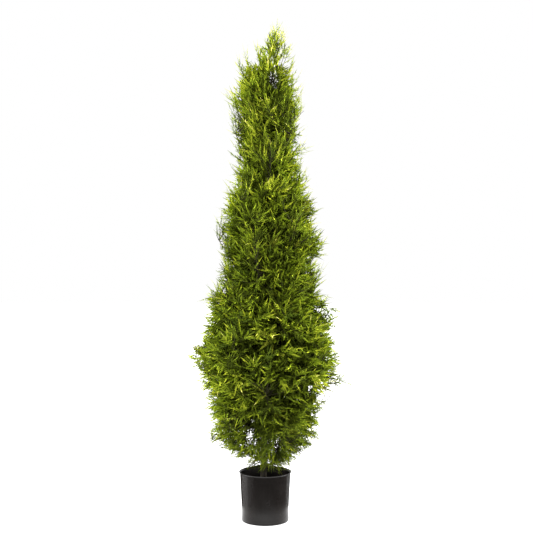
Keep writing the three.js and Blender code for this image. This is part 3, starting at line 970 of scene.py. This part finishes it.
# Shoots on a plume: their angles to it, and their lengths, which are mostly short and seldom long.
SHOOT_OFFSET = 0.6
SHOOT_WIDE = 0.8
SHOOT_NARROW = 0.4
SHOOT_ANGLE_SPREAD = (0.6, 1.45)
SHOOT_ROLL_SPREAD = 0.8
SHOOT_TIP_SHARE = 0.25
SHOOT_SPREAD = (0.6, 1.7)
SHOOT_RARITY = 3
SHOOT_GROWTH = 0.5
LAST_SHARE = 1.15
STALK_HALF_WIDTH = 0.0011
SHOOT_WIDEST = 0.12
SHOOT_FACES = ((0, 1, 2), (0, 2, 3))
# Shoots grow larger from the first to the second of these depths inside the outline,
# and fully so only from this height on.
INNER_FROM = 0.025
INNER_TO = 0.13
INNER_FULL_FROM = 0.6
INNER_WIDER = 4.5
INNER_LONGER = 1.1
# Shoots are slimmer and shorter within these depths of the outline.
OUTER_SHARE = 0.5
OUTER_DEPTH = 0.035
OUTER_SHORTER = 0.7
SHORT_DEPTH = 0.07


def grown_shoots(root, heading, length, crown, random):
    """Roots, tips and half widths of shoots, (plumes, shoots), with the stalk first and its tip last."""
    plumes = len(root)
    depth = depth_inside(root, crown.tip_lean)[:, None]
    inner = smooth((depth - INNER_FROM) / (INNER_TO - INNER_FROM))
    inner *= smooth((root[:, 2:] - CROWN_FOOT) / (INNER_FULL_FROM - CROWN_FOOT))
    count = crown.shoots
    order = np.arange(count)
    place = np.tile((order + SHOOT_OFFSET) / count, (plumes, 1))
    own_roll = random.random((plumes, 1)) * math.pi
    roll = own_roll + order * math.pi + random.normal(0, SHOOT_ROLL_SPREAD, (plumes, count))
    angle = blend(SHOOT_WIDE, SHOOT_NARROW, place) * random.uniform(*SHOOT_ANGLE_SPREAD, (plumes, count))
    axis = np.repeat(heading, count, axis=0)
    side = branch_heading(axis, angle.ravel(), roll.ravel()).reshape(plumes, count, 3)
    base = root[:, None] + heading[:, None] * (place * length[:, None])[..., None]
    uneven = blend(*SHOOT_SPREAD, random.random((plumes, count)) ** SHOOT_RARITY)
    reach = crown.shoot_length * blend(1, SHOOT_TIP_SHARE, place) * uneven
    reach *= (length[:, None] / crown.plume_length) ** SHOOT_GROWTH * blend(1, INNER_LONGER, inner)
    reach *= blend(OUTER_SHORTER, 1, smooth(depth / SHORT_DEPTH))
    stalk_tip = root + heading * length[:, None]
    last_tip = stalk_tip + heading * (crown.shoot_length * LAST_SHARE)
    roots = np.concatenate((root[:, None], base, stalk_tip[:, None]), axis=1)
    tips = np.concatenate((stalk_tip[:, None], base + side * reach[..., None], last_tip[:, None]), axis=1)
    half_widths = np.tile(crown.shoot_half_width * blend(1, INNER_WIDER, inner), (1, count + 2))
    half_widths[:, 0] = STALK_HALF_WIDTH
    half_widths *= blend(OUTER_SHARE, 1, smooth(depth_inside(tips, crown.tip_lean) / OUTER_DEPTH))
    return roots, tips, half_widths


# A value runs from the heart of the crown to its tips, with painted shade deep in and painted light and new
# growth further out, and these limits part it into greens.
GREENS = ("deep_shade", "shade", "leaf", "light", "tip")
GREEN_LIMITS = (0.22, 0.45, 0.7, 1.0)
# A shoot takes a paler green near the outline and a darker one deeper in the crown, as painted light and
# painted shade, and a paler one near its twig's tip and its plume's tip, as new growth.
SHADE_DEPTH = 0.085
OUTLINE_LIGHT = 0.62
FRESH_ALONG_TWIG = 0.12
FRESH_ALONG_PLUME = 0.42
PLUME_MIDDLE = 0.4
TWIG_FRESH_SPREAD = (-0.16, 0.2)
SHOOT_FRESH_SPREAD = 0.06
# Height above the floor, then how much paler the greens are painted there: painted shade at the foot and
# round the middle, a little painted light at the top.
PAINTED_LIGHT_BY_HEIGHT = ((0.2, -0.3), (0.35, -0.16), (0.5, -0.05), (0.9, -0.1), (1.25, -0.02), (1.6, 0.04))
# Shares of the twigs whose middle greens are bluish or olive instead.
BLUE_SHARE = 0.05
OLIVE_SHARE = 0.03


def dealt_greens(tips, twig, place, tip_lean, random):
    """A green for each shoot, dealt out by twig, by depth in the crown, by height and by place on the plume.
    Depth and height paint light and shade into the greens.
    """
    plumes, count = tips.shape[:2]
    depth = depth_inside(tips[:, -1], tip_lean)
    outer = 1 - np.clip(depth / SHADE_DEPTH, 0, 1)
    own = random.uniform(*TWIG_FRESH_SPREAD, twig.max() + 1)[twig]
    # Painted light near the outline and painted shade deeper in and by height, added to the new growth along
    # the twig and a random spread.
    growth_and_light = OUTLINE_LIGHT * outer + FRESH_ALONG_TWIG * place + own + from_table(PAINTED_LIGHT_BY_HEIGHT, tips[:, -1, 2])
    along = np.append(0, np.linspace(0, 1, count - 1))
    growth_and_light = growth_and_light[:, None] + FRESH_ALONG_PLUME * (along - PLUME_MIDDLE)
    growth_and_light = growth_and_light + random.normal(0, SHOOT_FRESH_SPREAD, (plumes, count))
    green = np.digitize(growth_and_light, GREEN_LIMITS)
    names = np.array(GREENS)[green]
    draw = random.random(twig.max() + 1)[twig][:, None]
    is_middle = (green > 0) & (green < len(GREENS) - 1)
    names = np.where(is_middle & (draw < BLUE_SHARE), "blue", names)
    return np.where(is_middle & (draw > 1 - OLIVE_SHARE), "olive", names)


def sides_of(axis):
    """Two directions square to each axis and to each other."""
    aside = unit(np.cross(axis, np.where(np.abs(axis[..., 2:]) > STEEP, (1.0, 0, 0), UP)))
    return aside, np.cross(axis, aside)


def shoot_mesh(roots, tips, half_widths):
    """Slim flat shoots, pointed at both ends and turned evenly: points and triangles of all of them."""
    aside, across = sides_of(unit(tips - roots))
    turn = (GOLDEN_ANGLE * np.arange(len(roots)))[:, None]
    half = half_widths[:, None] * (aside * np.cos(turn) + across * np.sin(turn))
    widest = blend(roots, tips, SHOOT_WIDEST)
    points = np.stack((roots, widest + half, tips, widest - half), axis=1)
    triangles = np.array(SHOOT_FACES)[None] + 4 * np.arange(len(roots))[:, None, None]
    return points.reshape(-1, 3), triangles.reshape(-1, 3)


def tube_mesh(lines, radii, sides):
    """Tapering tubes along lines of the same number of points: points and triangles of all of them."""
    count, steps = lines.shape[:2]
    aside, across = sides_of(unit(np.gradient(lines, axis=1)))
    turns = [2 * math.pi * i / sides for i in range(sides)]
    ring = [lines + radii[..., None] * (aside * math.cos(a) + across * math.sin(a)) for a in turns]
    points = np.stack(ring, axis=2).reshape(-1, 3)
    near = [(s * sides + i, s * sides + (i + 1) % sides) for s in range(steps - 1) for i in range(sides)]
    walls = [face for a, b in near for face in ((a, b, b + sides), (a, b + sides, a + sides))]
    last = (steps - 1) * sides
    ends = [(0, i + 1, i) for i in range(1, sides - 1)]
    ends += [(last, last + i, last + i + 1) for i in range(1, sides - 1)]
    faces = np.array(walls + ends)
    triangles = faces[None] + steps * sides * np.arange(count)[:, None, None]
    return points, triangles.reshape(-1, 3)


def joined_piece(name, points, triangles):
    """One mesh object from arrays."""
    mesh = bpy.data.meshes.new(name)
    mesh.vertices.add(len(points))
    mesh.vertices.foreach_set("co", points.astype(np.float32).ravel())
    mesh.loops.add(triangles.size)
    mesh.loops.foreach_set("vertex_index", triangles.astype(np.int32).ravel())
    mesh.polygons.add(len(triangles))
    mesh.polygons.foreach_set("loop_start", np.arange(0, triangles.size, 3, dtype=np.int32))
    mesh.polygons.foreach_set("use_smooth", np.ones(len(triangles), bool))
    mesh.update(calc_edges=True)
    if mesh.validate():
        raise RuntimeError(name + " has broken faces")
    piece = bpy.data.objects.new(name, mesh)
    bpy.context.collection.objects.link(piece)
    return piece


# Place across the crown in X, then the least height at which plumes end there.
FOOT_LINE = (
    (-0.21, 0.275), (-0.13, 0.225), (-0.03, 0.2), (-0.014, 0.17),
    (0.09, 0.17), (0.12, 0.185), (0.15, 0.235), (0.19, 0.28),
)
FOOT_SPREAD = 0.012
# How far plumes may end past the outline, and the share that is kept at the outline itself.
PAST_OUTLINE = 0.008
PAST_SPREAD = 0.012
MOST_PAST = 0.024
OUTER_KEPT = 0.55
# How far a shoot may end outside the part's box.
BOX_SPARE = 0.02
# The most triangles in one joined piece of sprays.
MOST_TRIANGLES = 190000
# Openings through the crown: how uneven their edges are, then the middle in X and Z, half width and half
# height of each. Bare twigs cross them.
OPENING_EDGE = 0.5
OPENINGS = (
    (-0.054, 0.31, 0.018, 0.042),
    (-0.036, 0.28, 0.01, 0.022),
    (0.04, 0.268, 0.018, 0.032),
    (0.069, 0.447, 0.008, 0.014),
    (0.163, 0.48, 0.01, 0.014),
    (0.218, 0.58, 0.012, 0.012),
    (0.014, 1.286, 0.006, 0.01),
    (0.032, 1.592, 0.034, 0.062),
    (-0.046, 1.69, 0.012, 0.028),
    (0.068, 1.66, 0.018, 0.03),
)
# Radii of stems and twigs at their two ends, and the points and sides of their tubes.
STEM_RADII = (0.0034, 0.0012)
STEM_STEPS = 9
STEM_SIDES = 6
TWIG_RADII = (0.0017, 0.0008)
TWIG_STEPS = 6
TWIG_SIDES = 3


def woody_lines(curves, first, last, steps):
    """Points along curves, from a first to a last share of each."""
    shares = np.linspace(0, 1, steps)[None] * (last - first)[:, None] + first[:, None]
    return bezier(curves, shares)


class CYPRESS_OT_make_foliage(bpy.types.Operator):
    """Stems, twigs and feathery sprays of every mass, joined by kind"""

    bl_idname = "cypress.make_foliage"
    bl_label = "Make foliage"

    def execute(self, context):
        scene = context.scene
        crown = scene.cypress_crown
        random = np.random.default_rng(crown.seed)
        masses = grown_masses(crown)
        twig_curves = grown_twigs(masses, crown, random)
        twig_curves = np.concatenate((twig_curves, grown_prongs(masses, crown), grown_sprigs()))
        tip_curves = stem_tips(masses)
        self.make_twigs(scene, masses, twig_curves)
        self.make_sprays(scene, np.concatenate((twig_curves, tip_curves)), random)
        return {"FINISHED"}

    def make_twigs(self, scene, masses, twig_curves):
        stems = woody_lines(masses.axes, masses.bough_share, np.full(len(masses.axes), STEM_END), STEM_STEPS)
        twigs = woody_lines(twig_curves, np.zeros(len(twig_curves)), np.ones(len(twig_curves)), TWIG_STEPS)
        skin = twig_skin(scene.cypress_colours.twig)
        tubes = (("stems", stems, STEM_RADII, STEM_SIDES), ("twigs", twigs, TWIG_RADII, TWIG_SIDES))
        for name, lines, ends, sides in tubes:
            radii = np.tile(np.linspace(*ends, lines.shape[1]), (len(lines), 1))
            piece = joined_piece(name, *tube_mesh(lines, radii, sides))
            finish_piece(piece, skin, "foliage", *FOLIAGE_NODES)

    def make_sprays(self, scene, curves, random):
        crown = scene.cypress_crown
        root, heading, length, twig, place = grown_plumes(curves, crown, random)
        roots, tips, half_widths = grown_shoots(root, heading, length, crown, random)
        greens = dealt_greens(tips, twig, place, crown.tip_lean, random)
        inside = self.inside_reach(tips[:, -1], twig, crown, random)[:, None]
        inside = inside & ~self.in_opening((roots + tips) / 2, scene.cypress_stage, random)
        inside &= np.all((tips > CAD_BOX[0] - BOX_SPARE) & (tips < CAD_BOX[1] + BOX_SPARE), axis=-1)
        for green in (*GREENS, "blue", "olive"):
            chosen = inside & (greens == green)
            material = spray_plastic("spray_" + green, getattr(scene.cypress_colours, green))
            parts = math.ceil(chosen.sum() * len(SHOOT_FACES) / MOST_TRIANGLES)
            for part, members in enumerate(np.array_split(np.argwhere(chosen), parts)):
                at = tuple(members.T)
                name = "sprays_" + green + ("_" + str(part + 1) if parts > 1 else "")
                piece = joined_piece(name, *shoot_mesh(roots[at], tips[at], half_widths[at]))
                finish_piece(piece, material, "foliage", *FOLIAGE_NODES)

    def inside_reach(self, ends, twig, crown, random):
        """True for plumes that end above the foot line, and inside the outline, just past it or on a sprig.
        Fewer are kept near the outline, except at the top."""
        past = PAST_OUTLINE + random.normal(0, PAST_SPREAD, twig.max() + 1)[twig]
        foot = from_table(FOOT_LINE, ends[:, 0]) + random.normal(0, FOOT_SPREAD, len(ends))
        depth = depth_inside(ends, crown.tip_lean)
        kept = random.random(len(ends)) < blend(OUTER_KEPT, 1, smooth(depth / OUTER_DEPTH))
        kept |= ends[:, 2] > PRONG_LOWEST
        first_sprig = crown.twigs + PRONGS
        is_sprig = (twig >= first_sprig) & (twig < first_sprig + len(SPRIGS))
        return (is_sprig | kept & (depth > -np.minimum(past, MOST_PAST))) & (ends[:, 2] > foot)

    def in_opening(self, middles, stage, random):
        """True for shoots in an opening. Openings run straight back from where the viewer stands."""
        near = stage.camera_distance / (stage.camera_distance + middles[..., 1])
        x = stage.camera_x + (middles[..., 0] - stage.camera_x) * near
        z = stage.camera_height + (middles[..., 2] - stage.camera_height) * near
        edge = 1 + random.normal(0, OPENING_EDGE, (len(x), 1))
        open_at = [np.hypot((x - a) / width, (z - b) / height) < edge for a, b, width, height in OPENINGS]
        return np.any(open_at, axis=0)


# Stage

def soft_box(name, place, aim, size, power):
    """A square area light at a place, turned towards a point."""
    light = bpy.data.lights.new(name, "AREA")
    light.shape = "SQUARE"
    light.size = size
    light.energy = power
    lamp = bpy.data.objects.new(name, light)
    bpy.context.collection.objects.link(lamp)
    from_place = np.array(aim) - np.array(place)
    lamp.location = place
    lamp.rotation_euler = (
        math.atan2(math.hypot(from_place[0], from_place[1]), -from_place[2]),
        0,
        math.atan2(from_place[0], -from_place[1]) + math.pi,
    )
    return lamp


# Widths of the floor in metres and of the camera's sensor in millimetres.
FLOOR_SIZE = 40
SENSOR_WIDTH = 36
# A screen of slats round the pot. Degrees round from the front, then the open share of the screen there.
SCREEN_HEIGHT = 0.18
SCREEN_RADIUS = 0.235
SCREEN_SIDES = 240
SCREEN_OPEN = (
    (-120, 0), (-116, 0.3), (-84, 0.4), (-62, 0.25), (-42, 0), (96, 0), (102, 0.25), (126, 0.25), (130, 0),
)
# Places and sizes of the lights, and each side light's share of their power.
KEY_PLACE = (-1.4, -2.6, 2.9)
KEY_SIZE = 1.6
SIDE_PLACES = {"left_light": (-2.4, 1.0, 2.2), "right_light": (2.4, 1.0, 2.2)}
SIDE_SHARES = {"left_light": 1.2, "right_light": 1.3}
SIDE_SIZE = 1.8


def front_turn(face):
    """Degrees from the front to a face of the screen, growing towards +X."""
    return math.degrees(math.atan2(face.center.x, -face.center.y))


class CYPRESS_OT_make_stage(bpy.types.Operator):
    """White floor and surroundings, a dark screen round the pot, soft lights and the camera"""

    bl_idname = "cypress.make_stage"
    bl_label = "Make stage"

    def execute(self, context):
        stage = context.scene.cypress_stage
        self.make_floor(stage)
        self.make_dark_panel()
        self.make_lights(context.scene, stage)
        self.make_camera(context.scene, stage)
        return {"FINISHED"}

    def make_floor(self, stage):
        deselect_all()
        bpy.ops.mesh.primitive_plane_add(size=FLOOR_SIZE, location=(0, 0, 0))
        floor = bpy.context.object
        floor.name = "floor"
        floor.data.materials.append(floor_acrylic(stage.glow))

    def make_dark_panel(self):
        """A low round screen with open slats, which shows only in reflections."""
        deselect_all()
        bpy.ops.mesh.primitive_circle_add(vertices=SCREEN_SIDES, radius=SCREEN_RADIUS)
        panel = bpy.context.object
        panel.name = "dark_panel"
        bpy.ops.object.mode_set(mode="EDIT")
        bpy.ops.mesh.select_all(action="SELECT")
        bpy.ops.mesh.extrude_region_move(TRANSFORM_OT_translate={"value": (0, 0, SCREEN_HEIGHT)})
        bpy.ops.mesh.select_all(action="DESELECT")
        bpy.ops.object.mode_set(mode="OBJECT")
        open_share = 0
        for face in sorted(panel.data.polygons, key=front_turn):
            open_share += from_table(SCREEN_OPEN, front_turn(face))
            face.select = open_share >= 1
            open_share -= face.select
        bpy.ops.object.mode_set(mode="EDIT")
        bpy.ops.mesh.delete(type="FACE")
        bpy.ops.object.mode_set(mode="OBJECT")
        panel.data.materials.append(dark_cloth())
        panel.visible_camera = False
        panel.visible_diffuse = False
        panel.visible_shadow = False
        panel.visible_transmission = False

    def make_lights(self, scene, stage):
        world = bpy.data.worlds.new("white_surroundings")
        world.use_nodes = True
        tree = world.node_tree
        background = tree.nodes["Background"]
        background.inputs["Color"].default_value = (1, 1, 1, 1)
        seen = tree.nodes.new("ShaderNodeLightPath").outputs["Is Camera Ray"]
        strength = tree.nodes.new("ShaderNodeMapRange")
        strength.inputs["To Min"].default_value = stage.world
        strength.inputs["To Max"].default_value = 1
        tree.links.new(seen, strength.inputs["Value"])
        tree.links.new(strength.outputs["Result"], background.inputs["Strength"])
        scene.world = world
        scene.view_settings.view_transform = "Standard"
        middle = (0, 0, TREE_HEIGHT / 2)
        soft_box("key_light", KEY_PLACE, middle, KEY_SIZE, stage.key)
        for name, place in SIDE_PLACES.items():
            lamp = soft_box(name, place, middle, SIDE_SIZE, stage.side * SIDE_SHARES[name])
            lamp.visible_glossy = False

    def make_camera(self, scene, stage):
        lens = bpy.data.cameras.new("camera")
        lens.lens = stage.lens
        lens.sensor_width = SENSOR_WIDTH
        camera = bpy.data.objects.new("camera", lens)
        camera.location = (stage.camera_x, -stage.camera_distance, stage.camera_height)
        camera.rotation_euler = (math.pi / 2, 0, 0)
        scene.collection.objects.link(camera)
        scene.camera = camera


class CYPRESS_PT_panel(bpy.types.Panel):
    """Steps and sizes of the potted cypress"""

    bl_idname = "CYPRESS_PT_panel"
    bl_label = "Potted cypress pine"
    bl_space_type = "VIEW_3D"
    bl_region_type = "UI"
    bl_category = "Cypress"

    def draw(self, context):
        for operator in OPERATORS:
            self.layout.operator(operator.bl_idname)
        for name, group in SETTINGS.items():
            box = self.layout.box()
            box.label(text=group.__doc__)
            for prop in group.__annotations__:
                box.prop(getattr(context.scene, name), prop)


SETTINGS = {
    "cypress_pot": PotSettings,
    "cypress_trunk": TrunkSettings,
    "cypress_crown": CrownSettings,
    "cypress_colours": ColourSettings,
    "cypress_stage": StageSettings,
}
OPERATORS = (
    CYPRESS_OT_make_stage,
    CYPRESS_OT_make_pot,
    CYPRESS_OT_make_fill,
    CYPRESS_OT_make_trunk,
    CYPRESS_OT_make_boughs,
    CYPRESS_OT_make_foliage,
)
CLASSES = (*SETTINGS.values(), *OPERATORS, CYPRESS_PT_panel)


def register():
    for made in CLASSES:
        bpy.utils.register_class(made)
    for name, group in SETTINGS.items():
        setattr(bpy.types.Scene, name, PointerProperty(type=group))


def unregister():
    for name in SETTINGS:
        delattr(bpy.types.Scene, name)
    for made in reversed(CLASSES):
        bpy.utils.unregister_class(made)


def main():
    register()
    bpy.ops.cypress.make_stage()
    bpy.ops.cypress.make_pot()
    bpy.ops.cypress.make_fill()
    bpy.ops.cypress.make_trunk()
    bpy.ops.cypress.make_boughs()
    bpy.ops.cypress.make_foliage()


if __name__ == "__main__":
    main()
